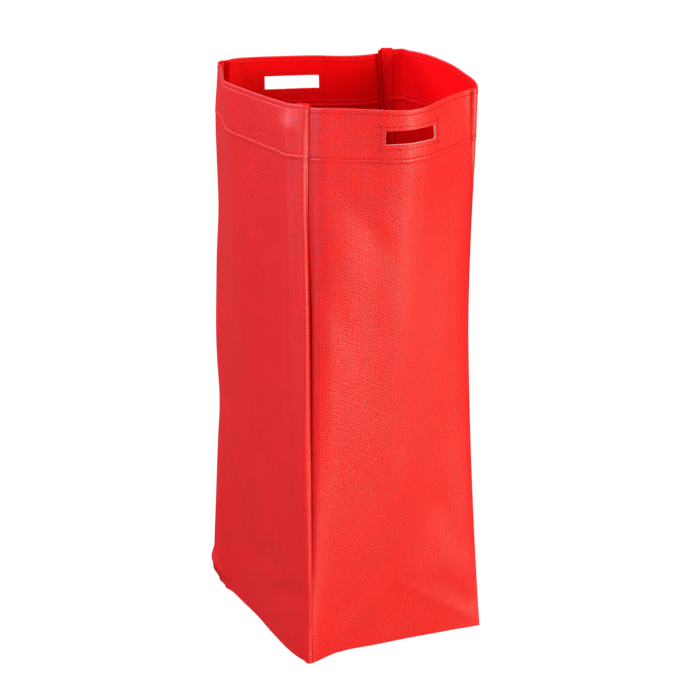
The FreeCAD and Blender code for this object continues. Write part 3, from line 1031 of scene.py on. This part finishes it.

# %% [markdown]
# ## What each piece stands for
# Every Blender piece stands for the CAD node with the same job and rides on that node's body. The walls, hems
# and base are sheets of cloth cut flat.

# %% Place the pieces on the frame
NODE = {"front": "front_panel", "back": "back_panel", "left": "left_gusset", "right": "right_gusset"}
for wall, thing in walls.items():
    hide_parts(NODE[wall])
    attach(thing, "bag")
for wall, thing in hems.items():
    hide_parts(wall + "_hem")
    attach(thing, "bag")
for corner, thing in tapes.items():
    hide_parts(corner + "_seam_tape")
    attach(thing, "bag")
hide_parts("base_seam_tape")
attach(base_tape, "bag")
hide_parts("base_panel")
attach(base, "bag")
for node, thing in threads.items():
    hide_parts(node)
    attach(thing, "bag")
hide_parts("base_board")
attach(board, "base_board")
print("pieces", len(walls) + len(hems) + len(tapes) + len(threads) + len([base_tape, base, board]))

# %% [markdown]
# ## Floor, lights and camera
# The bag stands on a white sweep, as in a product studio. The floor glows white to the camera only, so that
# it looks clean and doesn't throw its own light up at the bag.

# %% Floor
def floor_material():
    material, tree = new_material("white_floor")
    paint = add_node(tree, "ShaderNodeBsdfDiffuse", {"Color": (0.10, 0.10, 0.10, 1)})
    seen = add_node(tree, "ShaderNodeLightPath").outputs["Is Camera Ray"]
    strength = maths(tree, "MULTIPLY", seen, 0.97)
    glow = add_node(tree, "ShaderNodeEmission", {"Color": (1, 1, 1, 1), "Strength": strength})
    both = add_node(tree, "ShaderNodeAddShader", {0: paint.outputs[0], 1: glow.outputs[0]})
    add_node(tree, "ShaderNodeOutputMaterial", {"Surface": both.outputs[0]})
    return material


floor_mesh = bmesh.new()
bmesh.ops.create_grid(floor_mesh, x_segments=1, y_segments=1, size=30)
floor_data = bpy.data.meshes.new("floor")
floor_mesh.to_mesh(floor_data)
floor_mesh.free()
floor = linked("floor", floor_data)
dress(floor, [floor_material()])
print("floor", tuple(floor.dimensions))

# %% [markdown]
# Three warm lights stand before the front wall, so it is bright from edge to edge with a soft sheen. Two
# cool ones stand at the left, so the left gusset is a shade deeper and the corner between them reads. A
# small lamp over the mouth lifts the inside.

# %% Lights
WARM_KEY, WARM, COOL, WHITE = (1, 0.96, 0.76), (1, 0.97, 0.80), (1, 0.94, 1.20), (1, 1, 1)
AIM = (0, 0, 0.2)


def area_light(name, place, size, power, colour):
    data = bpy.data.lights.new(name, "AREA")
    data.shape, data.size, data.energy, data.color = "DISK", size, power, colour
    light = linked(name, data)
    light.location = place
    light.visible_camera = False
    light.rotation_euler = (Vector(AIM) - Vector(place)).to_track_quat("-Z", "Y").to_euler()


area_light("key", (1.45, -1.85, 0.55), 1.5, 62, WARM_KEY)
area_light("front", (-0.1, -2.6, 0.7), 2.6, 14, WARM)
area_light("low", (0.6, -2.4, 0.1), 1.2, 42, WARM)
area_light("side", (-1.88, -0.35, 1.1), 1.0, 31, COOL)
area_light("back", (-1.5, 1.2, 1.3), 1.0, 30, COOL)
area_light("mouth", (0.01, -0.03, 0.47), 0.06, 0.10, WHITE)
print("lights", [light.name for light in bpy.data.lights])

# %% [markdown]
# The world fills in the shadows softly. It looks pure white to the camera, and lights the bag with about a
# third of that. The Standard view keeps the reds as bright as they are set.

# %% World
world = bpy.data.worlds.new("studio")
bpy.context.scene.world = world
world.use_nodes = True
sky = world.node_tree
sky.nodes.clear()
seen = add_node(sky, "ShaderNodeBackground", {"Color": (1, 1, 1, 1), "Strength": 1.0})
lit = add_node(sky, "ShaderNodeBackground", {"Color": (0.95, 0.97, 1, 1), "Strength": 0.36})
path = add_node(sky, "ShaderNodeLightPath")
either = add_node(sky, "ShaderNodeMixShader",
                  {0: path.outputs["Is Camera Ray"], 1: lit.outputs[0], 2: seen.outputs[0]})
add_node(sky, "ShaderNodeOutputWorld", {"Surface": either.outputs[0]})
bpy.context.scene.view_settings.view_transform = "Standard"
print("world nodes", len(sky.nodes))

# %% [markdown]
# The camera stands well back with a long lens, to the left of the front wall and a little above the mouth,
# so the front, the left gusset and some of the inside all show.

# %% Camera
CAMERA_PLACE = (-617.7 * MM, -1376.6 * MM, 738.2 * MM)
AZIMUTH, ELEVATION, LENS = math.radians(-24.196), math.radians(20.402), 130.8
camera_data = bpy.data.cameras.new("camera")
camera_data.lens, camera_data.sensor_width = LENS, 36
camera = linked("camera", camera_data)
camera.location = CAMERA_PLACE
camera.rotation_euler = (math.pi / 2 - ELEVATION, 0, AZIMUTH)
bpy.context.scene.camera = camera
print("camera", [round(x, 2) for x in camera.location], "m, lens", round(LENS), "mm")
